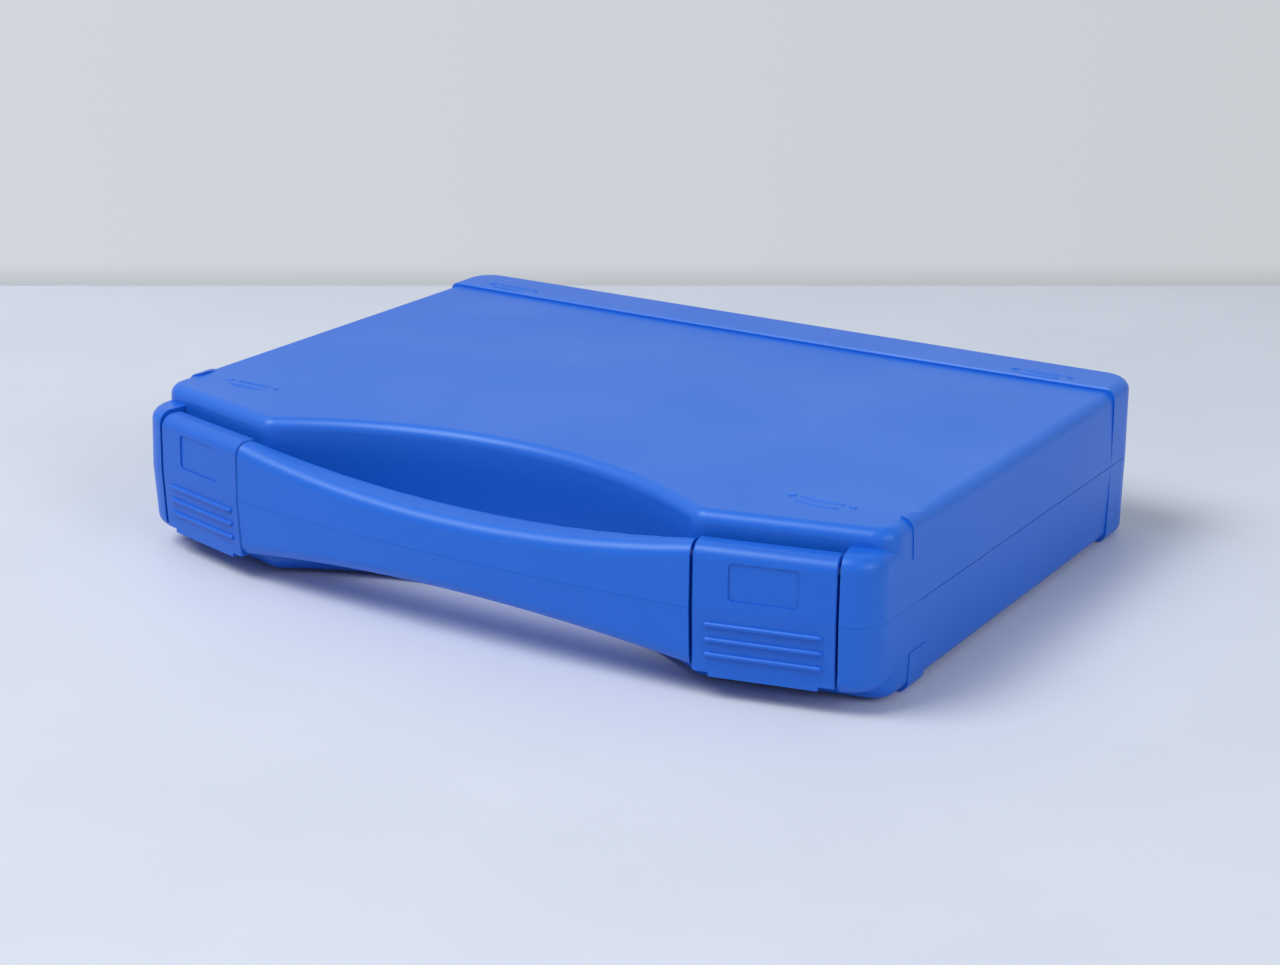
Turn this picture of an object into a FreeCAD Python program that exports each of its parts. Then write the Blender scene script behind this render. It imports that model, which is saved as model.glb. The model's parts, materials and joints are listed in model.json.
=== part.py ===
import FreeCAD, Part
import math
import os
import Sketcher

# Hard tool case with two nearly mirror-image half shells, a handle moulded half and half with them,
# two snap latches hung on the lid and two pinned hinges at the rear.
# +Z is up, the front with the handle faces -Y, and the origin lies under the middle of the case.

doc = FreeCAD.newDocument("ToolCase")

# Driving dimensions in millimetres and degrees

sizes = [
    ("caseWidth", 250.0, "width at the parting plane"),
    ("caseDepth", 191.3, "front of the handle to the rear face"),
    ("halfHeight", 23.1, "parting plane to the lid's main panel"),
    ("baseExtra", 1.0, "base deeper than the lid"),
    ("bandRise", 1.2, "rear band, and the base's front feet, above the main panel"),
    ("bandLength", 19.5, "rear band, front to back at its ends"),
    ("bandBow", 1.6, "bow of the band's front edge"),
    ("bandDraft", 0.6, "draft of the band's sides"),
    ("bandBevel", 0.5, "softening of the band's front edge"),
    ("wallThickness", 2.4, "walls and panels of the shells"),
    ("draftAngle", 2.0, "draft of the walls"),
    ("edgeRadius", 3.5, "rounding round the panels"),
    ("rearCornerRadius", 10.0, "rear corners in plan"),
    ("frontCornerRadius", 7.0, "front corners of the body in plan"),
    ("noseRadius", 6.0, "body corners beside the finger opening"),
    ("noseInset", 3.9, "those corners inside the handle's ends"),
    ("noseSetback", 12.8, "handle front to those corners"),
    ("archDepth", 21.2, "depth of the curved wall behind the handle"),
    ("railHalf", 17.4, "half height of the handle ends and latches"),
    ("gripBow", 4.1, "bow of the handle's front"),
    ("gripDepth", 12.8, "handle, front to back"),
    ("gripDip", 6.4, "waist of the handle in its middle"),
    ("gripFrontRadius", 4.0, "front edge of the handle"),
    ("gripRearRadius", 3.4, "rear edge of the handle"),
    ("crownSlope", 3.0, "rise of the swept crown behind the front edge"),
    ("gripWall", 2.2, "walls of the hollow handle"),
    ("gripRoot", 4.5, "rounding at the ends of the finger opening"),
    ("gripEnd", 7.9, "end of the handle beside the finger opening"),
    ("webDrop", 6.0, "webs at the handle's ends below its top"),
    ("channelEnd", 6.0, "solid stretch of the handle beside those ends"),
    ("gripRib", 1.6, "cross ribs in the handle"),
    ("gripRibs", 4, "number of cross ribs in the handle"),
    ("latchAngle", 13.3, "turn of each latch away from the front"),
    ("bayLength", 40.0, "opening between handle and corner post"),
    ("postFace", 9.4, "front of a corner post, from the latch to the side"),
    ("bayDepth", 14.0, "reach of handle ends and posts into the body"),
    ("postRise", 0.9, "corner posts past the latches, above and below"),
    ("postRadius", 10.0, "front corners of the case in plan"),
    ("postEdgeRadius", 4.0, "rounding of the corner posts"),
    ("postReach", 16.0, "corner post along the side, behind the body's corner"),
    ("footSetback", 36.8, "handle front to the step of the front feet"),
    ("footLength", 4.5, "level part of a front foot"),
    ("footRun", 5.0, "stretch in which a foot dies away"),
    ("footWidth", 4.6, "foot across the case"),
    ("footDrop", 10.5, "reach of a foot down the side"),
    ("footProud", 0.25, "foot outside the side wall"),
    ("lidFootRise", 0.6, "front feet of the lid above the main panel"),
    ("sink", 0.3, "how far joined forms reach into each other"),
    ("overrun", 2.0, "how far cutting forms run past a face"),
    ("rimGap", 0.2, "gap between the closed rims"),
    ("frontGap", 0.06, "gap between the closed rims at the front"),
    ("lipHeight", 1.3, "rim lip of the base"),
    ("lipThickness", 1.0, "thickness of the rim lip"),
    ("lipClearance", 0.15, "room round the rim lip"),
    ("hingeInset", 55.0, "side of the case to the middle of a hinge"),
    ("hingeLength", 50.0, "length of a hinge"),
    ("hingeOffset", 0.3, "hinge axis behind the rear face"),
    ("knuckles", 3, "knuckles of a hinge, an odd number"),
    ("knuckleRadius", 3.5, "radius of the knuckles"),
    ("knuckleGap", 0.3, "end play between knuckles"),
    ("knuckleRoom", 0.6, "room round the knuckles"),
    ("webRoom", 0.3, "parting plane to the webs of the knuckles"),
    ("nicheHeight", 8.0, "height of the hinge niche in each shell"),
    ("hingePinRadius", 1.25, "hinge pins"),
    ("latchPinRadius", 1.25, "latch pins"),
    ("runClearance", 0.05, "radial play of a turning bore"),
    ("latchGap", 0.8, "gap at each end of a latch"),
    ("latchBevel", 0.35, "bevelled edges at the ends of a latch"),
    ("latchPlate", 2.9, "latch front to its inner face"),
    ("latchTopRadius", 4.0, "rounded top edge of a latch"),
    ("barrelRadius", 2.6, "pivot barrel of a latch"),
    ("latchDrop", 17.6, "parting plane to the latch's lower edge"),
    ("hookTop", 13.2, "parting plane to the hook's upper face"),
    ("hookHeight", 1.1, "thickness of the hook's tip"),
    ("hookSlope", 1.7, "slope under the hook"),
    ("hookReach", 2.0, "hook inside the plate"),
    ("tabLength", 29.6, "finger tab of a latch"),
    ("tabDrop", 1.2, "finger tab below the latch"),
    ("ribCount", 3, "number of grip ribs"),
    ("ribLength", 30.7, "grip ribs of a latch"),
    ("ribHeight", 1.2, "thickness of a grip rib"),
    ("ribProud", 0.75, "grip rib in front of the face"),
    ("ribPitch", 4.25, "between grip ribs"),
    ("ribFirst", 3.95, "parting plane to the first rib"),
    ("panelLength", 19.0, "sunk panel of a latch"),
    ("panelHeight", 10.4, "height of the sunk panel"),
    ("panelMiddle", 8.3, "parting plane to the panel's middle"),
    ("panelDepth", 0.4, "depth of the sunk panel"),
    ("panelRadius", 1.4, "corners of the sunk panel"),
    ("keeperFront", 5.4, "latch front to the keeper wall"),
    ("keeperThickness", 2.0, "keeper wall behind a latch"),
    ("keeperRise", 8.6, "keeper wall of the lid"),
    ("ridgeReach", 1.7, "catch ridge in front of the keeper wall"),
    ("ridgeHeight", 2.0, "thickness of the catch ridge"),
    ("hookPlay", 0.3, "play between hook and catch ridge"),
    ("pinEmbed", 5.5, "latch pin in the corner post"),
    ("pinTail", 5.0, "latch pin in the handle end"),
]

sheet = doc.addObject("Spreadsheet::Sheet", "Dims")
for row, (name, value, note) in enumerate(sizes, start=1):
    sheet.set(f"A{row}", name)
    sheet.set(f"B{row}", str(value))
    sheet.set(f"C{row}", note)
    sheet.setAlias(f"B{row}", name)
doc.recompute()


class Size:
    """A number together with the expression that gives it from the sheet."""

    def __init__(self, value, text):
        self.value = value
        self.text = text

    def __add__(self, other):
        other = size(other)
        return Size(self.value + other.value, f"({self.text} + {other.text})")

    def __sub__(self, other):
        other = size(other)
        return Size(self.value - other.value, f"({self.text} - {other.text})")

    def __mul__(self, other):
        other = size(other)
        return Size(self.value * other.value, f"({self.text} * {other.text})")

    def __truediv__(self, other):
        other = size(other)
        return Size(self.value / other.value, f"({self.text} / {other.text})")

    def __neg__(self):
        return Size(-self.value, f"(0 - {self.text})")


def size(thing):
    """The size of that name, or a plain factor as a size."""
    if isinstance(thing, Size):
        return thing
    if isinstance(thing, str):
        return Size(float(sheet.get(thing)), f"Dims.{thing}")
    return Size(float(thing), repr(float(thing)))


def tanOf(angle):
    return Size(math.tan(math.radians(angle.value)), f"tan({angle.text})")


def cosOf(angle):
    return Size(math.cos(math.radians(angle.value)), f"cos({angle.text})")


def sinOf(angle):
    return Size(math.sin(math.radians(angle.value)), f"sin({angle.text})")


def arcTan(ratio):
    return Size(math.degrees(math.atan(ratio.value)), f"atan({ratio.text})")


def rootOf(number):
    return Size(math.sqrt(number.value), f"sqrt({number.text})")


def arcRadius(halfChord, rise):
    """Radius of the arc with that half chord and rise."""
    return halfChord * halfChord / (rise * 2) + rise / 2


nothing = size(0)
draft = size("draftAngle")
turn = size("latchAngle")
wall = size("wallThickness")
sink = size("sink")
overrun = size("overrun")
halfWidth = size("caseWidth") / 2
lidHeight = size("halfHeight")
baseHeight = lidHeight + "baseExtra"
railHalf = size("railHalf")
partingHeight = baseHeight + "bandRise"
frontY = -((size("caseDepth") + "hingeOffset" + "knuckleRadius") / 2)
rearY = frontY + "caseDepth"
hingeY = rearY + "hingeOffset"
gripHalf = halfWidth - cosOf(turn) * (size("bayLength") + "postFace")
gripEndY = frontY + "gripBow"
gripRearY = frontY + "gripDepth"
openingHalf = gripHalf - "gripEnd"
noseX = gripHalf - "noseInset"
noseY = frontY + "noseSetback"
archRadius = arcRadius(noseX, size("archDepth"))
archCentreY = noseY + "archDepth" - archRadius


def setSize(thing, name, amount):
    thing.setExpression(name, size(amount).text)


def originPlane(body, role):
    return next(f for f in body.Origin.OriginFeatures if f.Role == role)


def newBody(name):
    body = doc.addObject("PartDesign::Body", name)
    body.AllowCompound = True
    return body


def newSketch(body, name, role, lift=nothing):
    sketch = body.newObject("Sketcher::SketchObject", name)
    sketch.AttachmentSupport = (originPlane(body, role), [""])
    sketch.MapMode = "FlatFace"
    setSize(sketch, "AttachmentOffset.Base.z", lift)
    return sketch


def arcBetween(a, b, radius, side):
    """Arc of under a half turn from a to b; side 1 bulges to the left of the way, -1 to the right."""
    chord = b - a
    middle = (a + b) / 2
    rest = math.sqrt(max(radius * radius - chord.Length * chord.Length / 4, 0))
    normal = FreeCAD.Vector(-chord.y, chord.x, 0)
    normal.normalize()
    centre = middle - normal * (side * rest)
    first, last = (b, a) if side > 0 else (a, b)
    start = math.atan2(first.y - centre.y, first.x - centre.x)
    end = math.atan2(last.y - centre.y, last.x - centre.x)
    circle = Part.Circle(centre, FreeCAD.Vector(0, 0, 1), radius)
    return Part.ArcOfCircle(circle, start, end)


def placePoint(sketch, geo, end, point):
    """Hold one end of a line or arc at its place by dimensions from the origin."""
    for kind, amount, axis in (("DistanceX", point[0], -2), ("DistanceY", point[1], -1)):
        if amount is nothing:
            sketch.addConstraint(Sketcher.Constraint("PointOnObject", geo, end, axis))
            continue
        k = sketch.addConstraint(Sketcher.Constraint(kind, -1, 1, geo, end, amount.value))
        sketch.setExpression(f"Constraints[{k}]", amount.text)


def closedLoop(sketch, path):
    """Draw a closed outline. Each step is (x, y), reached by a line, or (x, y, radius, side), by an arc."""
    corners = [FreeCAD.Vector(size(s[0]).value, size(s[1]).value, 0) for s in path]
    legs = []
    for i, step in enumerate(path):
        a, b = corners[i - 1], corners[i]
        if len(step) == 2:
            legs.append((sketch.addGeometry(Part.LineSegment(a, b), False), 1, 2))
            continue
        geo = sketch.addGeometry(arcBetween(a, b, step[2].value, step[3]), False)
        legs.append((geo, 2, 1) if step[3] > 0 else (geo, 1, 2))
    for i, step in enumerate(path):
        geo, start, end = legs[i]
        following = legs[(i + 1) % len(legs)]
        sketch.addConstraint(Sketcher.Constraint("Coincident", geo, end, following[0], following[1]))
    for i, step in enumerate(path):
        placePoint(sketch, legs[i][0], legs[i][2], step)
        if len(step) > 2:
            k = sketch.addConstraint(Sketcher.Constraint("Radius", legs[i][0], step[2].value))
            sketch.setExpression(f"Constraints[{k}]", step[2].text)


def circleAt(sketch, x, y, radius):
    centre = FreeCAD.Vector(x.value, y.value, 0)
    geo = sketch.addGeometry(Part.Circle(centre, FreeCAD.Vector(0, 0, 1), radius.value), False)
    placePoint(sketch, geo, 3, (x, y))
    k = sketch.addConstraint(Sketcher.Constraint("Radius", geo, radius.value))
    sketch.setExpression(f"Constraints[{k}]", radius.text)


def pad(body, sketch, name, length, middle=False, behind=None, turned=False):
    feature = body.newObject("PartDesign::Pad", name)
    feature.Profile = sketch
    setSize(feature, "Length", length)
    if middle:
        feature.SideType = "Symmetric"
    if behind is not None:
        feature.SideType = "Two sides"
        setSize(feature, "Length2", behind)
    feature.Reversed = turned
    sketch.Visibility = False
    doc.recompute()
    return feature


def pocket(body, sketch, name, length=None, turned=False, middle=False):
    before = body.Tip.Shape.Volume
    feature = body.newObject("PartDesign::Pocket", name)
    feature.Profile = sketch
    if length is None:
        feature.Type = "ThroughAll"
    else:
        setSize(feature, "Length", length)
    if middle:
        feature.SideType = "Symmetric"
    feature.Reversed = turned
    doc.recompute()
    if feature.Shape.Volume > before * (1 - 1e-9):
        raise ValueError(f"{name} cuts nothing")
    return feature


def slope(body, base, name, faces, angle):
    """Draft the faces inwards with height, hinged where they meet the parting plane."""
    feature = body.newObject("PartDesign::Draft", name)
    feature.Base = (base, faces)
    feature.NeutralPlane = (originPlane(body, "XY_Plane"), [""])
    setSize(feature, "Angle", angle)
    doc.recompute()
    return feature


def fillet(body, base, name, edges, radius):
    if not edges:
        raise ValueError(f"{name} has no edges")
    feature = body.newObject("PartDesign::Fillet", name)
    feature.Base = (base, edges)
    setSize(feature, "Radius", radius)
    doc.recompute()
    return feature


def chamfer(body, base, name, edges, amount):
    if not edges:
        raise ValueError(f"{name} has no edges")
    feature = body.newObject("PartDesign::Chamfer", name)
    feature.Base = (base, edges)
    setSize(feature, "Size", amount)
    doc.recompute()
    return feature


def facesWhere(shape, test):
    return [f"Face{i}" for i, face in enumerate(shape.Faces, start=1) if test(face)]


def edgesWhere(shape, test):
    return [f"Edge{i}" for i, edge in enumerate(shape.Edges, start=1) if test(edge)]


near = 0.01  # how close two places count as one
apart = 0.1  # how far apart they count as two


def isUpright(face):
    """Faces that stand on the parting plane."""
    return face.BoundBox.ZMin < near and face.BoundBox.ZLength > apart


def liesAt(height):
    level = size(height).value
    return lambda edge: abs(edge.BoundBox.ZMin - level) < near and abs(edge.BoundBox.ZMax - level) < near


def bothOf(*tests):
    return lambda thing: all(test(thing) for test in tests)


def booleanOf(kind, name, *parts):
    """Cut, MultiFuse or MultiCommon of earlier objects, with faces that continue each other made one."""
    feature = doc.addObject(f"Part::{kind}", name)
    if kind == "Cut":
        feature.Base, feature.Tool = parts
    else:
        feature.Shapes = list(parts)
    if hasattr(feature, "Refine"):
        feature.Refine = True
    doc.recompute()
    return feature


def mirrored(source, name, normal, base=None):
    feature = doc.addObject("Part::Mirroring", name)
    feature.Source = source
    feature.Normal = FreeCAD.Vector(*normal)
    if base is not None:
        setSize(feature, "Base.z", base)
    doc.recompute()
    return feature


def bothSides(right, name):
    """The piece on the right and its mirror image on the left."""
    return [right, mirrored(right, name, (1, 0, 0))]


def boxOf(name, low, high):
    """A block between two corners."""
    block = doc.addObject("Part::Box", name)
    for axis, edge, a, b in zip("xyz", ("Length", "Width", "Height"), low, high):
        setSize(block, f"Placement.Base.{axis}", a)
        setSize(block, edge, size(b) - a)
    doc.recompute()
    return block


# Body block: the closed form of one half of the body, open side down

def insetOutline(depth):
    """Outline of the body, moved inwards by depth, as steps from the front left round to the rear left."""
    depth = size(depth)
    side = halfWidth - depth
    pitch = tanOf(turn)
    shift = depth / cosOf(turn)
    cornerY = noseY + pitch * (side - noseX) + shift
    gap = noseY - pitch * noseX + shift - archCentreY
    reach = archRadius + depth
    scale = pitch * pitch + 1
    innerX = (rootOf(scale * reach * reach - gap * gap) - pitch * gap) / scale
    innerY = noseY + pitch * (innerX - noseX) + shift
    return {
        "side": side,
        "cornerY": cornerY,
        "noseX": innerX,
        "noseY": innerY,
        "reach": reach,
        "rearY": rearY - depth,
    }


def bodyPath(plan):
    return [
        (-plan["side"], plan["cornerY"]),
        (-plan["noseX"], plan["noseY"]),
        (plan["noseX"], plan["noseY"], plan["reach"], 1),
        (plan["side"], plan["cornerY"]),
        (plan["side"], plan["rearY"]),
        (-plan["side"], plan["rearY"]),
    ]


def bodyBlock(name, depth, height, angle, edge=None, below=None):
    """Block with the body's outline, moved in by depth, with rounded corners."""
    plan = insetOutline(depth)
    body = newBody(name)
    sketch = newSketch(body, name + "Plan", "XY_Plane")
    closedLoop(sketch, bodyPath(plan))
    tip = pad(body, sketch, name + "Pad", height, behind=below)
    if angle is not None:
        stands = facesWhere(tip.Shape, lambda f: f.BoundBox.ZLength > apart)
        tip = slope(body, tip, name + "Draft", stands, angle)
    for label, radius, x, y in (
        ("Rear", size("rearCornerRadius"), plan["side"], plan["rearY"]),
        ("Front", size("frontCornerRadius"), plan["side"], plan["cornerY"]),
        ("Nose", size("noseRadius"), plan["noseX"], plan["noseY"]),
    ):
        low = nothing if below is None else -size(below)
        spots = [(x, y), (-x, y)]
        edges = edgesWhere(tip.Shape, passesOver(spots, low))
        tip = fillet(body, tip, name + label, edges, radius - depth)
    if edge is not None:
        tip = fillet(body, tip, name + "Edge", edgesWhere(tip.Shape, liesAt(height)), edge)
    return body


def passesOver(points, low):
    """Edges that stand over these points of the parting plane, a little aside where the walls slope."""
    spots = [(size(x).value, size(y).value) for x, y in points]
    lean = math.tan(math.radians(draft.value)) * 2

    def test(edge):
        ends = [v.Point for v in edge.Vertexes]
        if len(ends) < 2 or edge.BoundBox.ZLength < near:
            return False
        foot = min(ends, key=lambda p: p.z)
        room = apart + abs(foot.z) * lean
        return any(math.hypot(foot.x - x, foot.y - y) < room for x, y in spots)

    return test


# Rear band: the raised strip over the hinges, on which the case also rests

def bandEnvelope(name, height):
    """Block behind the middle of the case with little draft and the rounding of the rear edges."""
    body = newBody(name)
    sketch = newSketch(body, name + "Plan", "XY_Plane")
    corner = size("rearCornerRadius")
    closedLoop(sketch, [
        (-halfWidth, nothing),
        (halfWidth, nothing),
        (halfWidth, rearY - corner),
        (halfWidth - corner, rearY, corner, -1),
        (corner - halfWidth, rearY),
        (-halfWidth, rearY - corner, corner, -1),
    ])
    tip = pad(body, sketch, name + "Pad", height)
    stands = facesWhere(tip.Shape, lambda f: isUpright(f) and f.BoundBox.YMax > near)
    tip = slope(body, tip, name + "Draft", stands, "bandDraft")
    edges = edgesWhere(tip.Shape, bothOf(liesAt(height), lambda e: e.BoundBox.YMax > near))
    fillet(body, tip, name + "Edge", edges, "edgeRadius")
    return body


def bandReach(name, height):
    """Block over the length of the band, with its bowed and softened front edge."""
    body = newBody(name)
    sketch = newSketch(body, name + "Plan", "XY_Plane")
    frontEdge = rearY - "bandLength"
    beyond = rearY + overrun
    closedLoop(sketch, [
        (-halfWidth, frontEdge),
        (halfWidth, frontEdge, arcRadius(halfWidth, size("bandBow")), -1),
        (halfWidth, beyond),
        (-halfWidth, beyond),
    ])
    tip = pad(body, sketch, name + "Pad", height)
    ahead = frontEdge.value + near
    edges = edgesWhere(tip.Shape, bothOf(liesAt(height), lambda e: e.BoundBox.YMax < ahead))
    chamfer(body, tip, name + "Bevel", edges, "bandBevel")
    return body


def rearBand(name, height):
    parts = [bandEnvelope(name + "Envelope", height), bandReach(name + "Reach", height)]
    return booleanOf("MultiCommon", name, *parts)


# Front feet: low pads wrapped over the front ends of the side edges, deeper under the base, so that
# the case stands level on them and on its rear band

def footEnvelope(name, height):
    """Block that ends just outside the side wall, with the draft and the rounded edge of that wall."""
    body = newBody(name)
    sketch = newSketch(body, name + "Plan", "XY_Plane")
    side = halfWidth + "footProud"
    closedLoop(sketch, [
        (nothing, frontY),
        (side, frontY),
        (side, nothing),
        (nothing, nothing),
    ])
    tip = pad(body, sketch, name + "Pad", height)
    outer = facesWhere(tip.Shape, lambda f: f.BoundBox.XMin > side.value - near)
    tip = slope(body, tip, name + "Draft", outer, draft)
    edges = edgesWhere(tip.Shape, bothOf(liesAt(height), lambda e: e.BoundBox.XMin > near))
    fillet(body, tip, name + "Edge", edges, "edgeRadius")
    return body


def frontFeet(name, height, rise):
    body = newBody(name + "Reach")
    sketch = newSketch(body, name + "Profile", "YZ_Plane", halfWidth + overrun)
    start = frontY + "footSetback"
    level = start + "footLength"
    end = level + "footRun"
    top = height + rise
    low = height - "footDrop"
    closedLoop(sketch, [
        (start, low),
        (start, top),
        (level, top),
        (end, height - sink),
        (end, low),
    ])
    length = overrun + "footWidth"
    tip = pad(body, sketch, name + "Pad", length, turned=True)
    inner = (halfWidth - "footWidth").value
    edges = edgesWhere(tip.Shape, lambda e: abs(e.BoundBox.XMax - inner) < near
                       and e.BoundBox.ZMax > top.value - near)
    chamfer(body, tip, name + "Ramp", edges[:1], rise)
    right = booleanOf("MultiCommon", name + "Right", body, footEnvelope(name + "Envelope", top))
    return bothSides(right, name + "Left")


# Handle: one half of the grip between the latches, waisted in the middle and hollow

def gripBlock():
    """Block between the latches with the waist and the rounded rear edge."""
    body = newBody("GripBlock")
    sketch = newSketch(body, "GripPlan", "XY_Plane")
    aheadX = gripHalf + tanOf(turn) * (size("gripBow") + overrun)
    rearX = gripHalf - tanOf(turn) * (gripRearY - gripEndY)
    closedLoop(sketch, [
        (-aheadX, frontY - overrun),
        (aheadX, frontY - overrun),
        (rearX, gripRearY),
        (-rearX, gripRearY),
    ])
    pad(body, sketch, "GripPad", railHalf)
    sketch = newSketch(body, "GripWaistProfile", "XZ_Plane")
    above = railHalf + overrun
    closedLoop(sketch, [
        (-aheadX, above),
        (-aheadX, railHalf),
        (-gripHalf, railHalf),
        (gripHalf, railHalf, arcRadius(gripHalf, size("gripDip")), -1),
        (aheadX, railHalf),
        (aheadX, above),
    ])
    tip = pocket(body, sketch, "GripWaist", middle=True)
    low = (railHalf - "gripDip").value - near
    isTop = lambda e: e.BoundBox.ZMin > low and e.BoundBox.XLength > openingHalf.value
    isRear = lambda e: e.BoundBox.YMin > gripRearY.value - near
    fillet(body, tip, "GripRearEdge", edgesWhere(tip.Shape, bothOf(isTop, isRear)), "gripRearRadius")
    return body


def gripSweep():
    """Front wall and rounded front edge, turned about a leaning axis, so that they bow and dip at once."""
    body = newBody("GripSweep")
    sketch = newSketch(body, "GripSection", "YZ_Plane")
    radius = size("gripFrontRadius")
    dip = size("gripDip")
    lean = tanOf(draft)
    incline = size("crownSlope")
    low = dip + overrun
    centreZ = railHalf - dip - radius
    centreY = frontY + radius / cosOf(draft) + lean * centreZ
    crownY = centreY - sinOf(incline) * radius
    crownZ = centreZ + cosOf(incline) * radius
    beyond = gripRearY + overrun
    closedLoop(sketch, [
        (frontY - lean * low, -low),
        (centreY - cosOf(draft) * radius, centreZ + sinOf(draft) * radius),
        (crownY, crownZ, radius, 1),
        (beyond, crownZ + tanOf(incline) * (beyond - crownY)),
        (beyond, -low),
    ])
    bow = size("gripBow") + lean * dip
    shift = rootOf(bow * bow + dip * dip)
    reach = arcRadius(gripHalf, shift)
    middleY = crownY + reach * bow / shift
    middleZ = crownZ + reach * dip / shift
    axis = [(middleY, middleZ), (middleY - dip, middleZ + bow)]
    ends = [FreeCAD.Vector(y.value, z.value, 0) for y, z in axis]
    line = sketch.addGeometry(Part.LineSegment(*ends), True)
    for end, point in enumerate(axis, start=1):
        placePoint(sketch, line, end, point)
    feature = body.newObject("PartDesign::Revolution", "GripTurn")
    feature.Profile = sketch
    feature.ReferenceAxis = (sketch, ["Axis0"])
    feature.Midplane = True
    setSize(feature, "Angle", arcTan((gripHalf + overrun * 2) / reach) * 2)
    sketch.Visibility = False
    doc.recompute()
    return body


def gripWeb():
    """Web from an end of the handle back into the body, beside the finger opening."""
    body = newBody("GripWebRight")
    sketch = newSketch(body, "GripWebPlan", "XY_Plane")
    root = size("gripRoot")
    startY = gripRearY - overrun
    startX = gripHalf - tanOf(turn) * (startY - gripEndY)
    endX = gripHalf - sinOf(turn) * "bayDepth"
    endY = gripEndY + cosOf(turn) * "bayDepth"
    closedLoop(sketch, [
        (openingHalf - root, startY),
        (startX, startY),
        (endX, endY),
        (openingHalf, endY),
        (openingHalf, gripRearY + root),
        (openingHalf - root, gripRearY, root, 1),
    ])
    pad(body, sketch, "GripWebPad", railHalf - "webDrop")
    return body


grip = booleanOf("MultiCommon", "Grip", gripBlock(), gripSweep())
gripWebs = bothSides(gripWeb(), "GripWebLeft")


def gripHollow():
    """Cells inside the handle, between cross ribs."""
    body = newBody("GripHollow")
    sketch = newSketch(body, "GripHollowPlan", "XY_Plane", -overrun)
    half = openingHalf - "channelEnd"
    frontArc = arcRadius(gripHalf, size("gripBow")) - "gripWall"
    centreY = frontY + arcRadius(gripHalf, size("gripBow"))
    startY = centreY - rootOf(frontArc * frontArc - half * half)
    innerY = frontY + "gripDepth" - "gripWall"
    closedLoop(sketch, [
        (-half, startY),
        (half, startY, frontArc, -1),
        (half, innerY),
        (-half, innerY),
    ])
    tip = pad(body, sketch, "GripHollowPad", overrun + railHalf - "gripDip" - "gripWall")
    sketch = newSketch(body, "GripRibPlan", "XY_Plane", -overrun)
    ribs = size("gripRibs")
    pitch = half * 2 / (ribs + 1)
    left = pitch - half - size("gripRib") / 2
    closedLoop(sketch, [
        (left, frontY),
        (left + "gripRib", frontY),
        (left + "gripRib", frontY + "gripDepth"),
        (left, frontY + "gripDepth"),
    ])
    cut = pocket(body, sketch, "GripRibCut", turned=True)
    row = body.newObject("PartDesign::LinearPattern", "GripRibRow")
    row.Originals = [cut]
    row.Direction = (originPlane(body, "X_Axis"), [""])
    setSize(row, "Length", pitch * (ribs - 1))
    row.setExpression("Occurrences", ribs.text)
    body.Tip = row
    doc.recompute()
    return body


hollow = gripHollow()


# Corner posts: they carry the outer ends of the latches and round off the front corners

def cornerPost(name, height):
    body = newBody(name)
    sketch = newSketch(body, name + "Plan", "XY_Plane")
    along = cosOf(turn)
    aside = sinOf(turn)
    startX = gripHalf + along * "bayLength"
    startY = gripEndY + aside * "bayLength"
    cornerY = startY + tanOf(turn) * (halfWidth - startX)
    rearX = startX - aside * "bayDepth"
    bendY = startY + along * "bayDepth"
    rear = insetOutline(0)["cornerY"] + "postReach"
    closedLoop(sketch, [
        (startX, startY),
        (halfWidth, cornerY),
        (halfWidth, rear),
        (rearX, bendY),
    ])
    tip = pad(body, sketch, name + "Pad", height)
    outer = facesWhere(tip.Shape, lambda f: isUpright(f) and f.BoundBox.XMax > halfWidth.value - near
                       and (f.BoundBox.XLength < near or f.BoundBox.YMax < cornerY.value + near))
    tip = slope(body, tip, name + "Draft", outer, draft)
    edges = edgesWhere(tip.Shape, passesOver([(halfWidth, cornerY)], nothing))
    tip = fillet(body, tip, name + "Corner", edges, "postRadius")
    isOuter = lambda e: e.BoundBox.YMin < cornerY.value + size("postRadius").value + near and (
        e.BoundBox.XMax > startX.value + apart)
    edges = edgesWhere(tip.Shape, bothOf(liesAt(height), isOuter))
    fillet(body, tip, name + "Edge", edges, "postEdgeRadius")
    return body


halfGap = size("rimGap") / 2
beyondX = halfWidth + overrun
rimSlab = boxOf("RimSlab", (-beyondX, insetOutline(0)["cornerY"] + "postReach", -overrun),
                (beyondX, rearY + overrun, halfGap))
frontSlab = boxOf("FrontSlab", (-beyondX, frontY - overrun, -overrun),
                  (beyondX, rearY + overrun, size("frontGap") / 2))


def cavityOf(name, height):
    return bodyBlock(name, wall, height - wall, draft, below=overrun)


def plainHalf(name, height, footRise, cavity):
    """One half of the case before its rim, hinges and latch keepers."""
    block = bodyBlock(name + "Block", nothing, height, draft, edge="edgeRadius")
    band = rearBand(name + "Band", height + "bandRise")
    feet = frontFeet(name + "Foot", height, footRise)
    postHeight = railHalf + "postRise" + (height - lidHeight)
    posts = bothSides(cornerPost(name + "Post", postHeight), name + "PostLeft")
    outside = booleanOf("MultiFuse", name + "Outside", block, band, *feet, grip, *gripWebs, *posts)
    inside = booleanOf("MultiFuse", name + "Inside", cavity, hollow, rimSlab, frontSlab)
    return booleanOf("Cut", name, outside, inside)


lidHalf = plainHalf("LidHalf", lidHeight, size("lidFootRise"), cavityOf("LidCavity", lidHeight))
baseCavity = cavityOf("BaseCavity", baseHeight)
baseHalf = plainHalf("BaseHalf", baseHeight, size("bandRise"), baseCavity)


# Stations: the places of the latches, turned with the front

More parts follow.
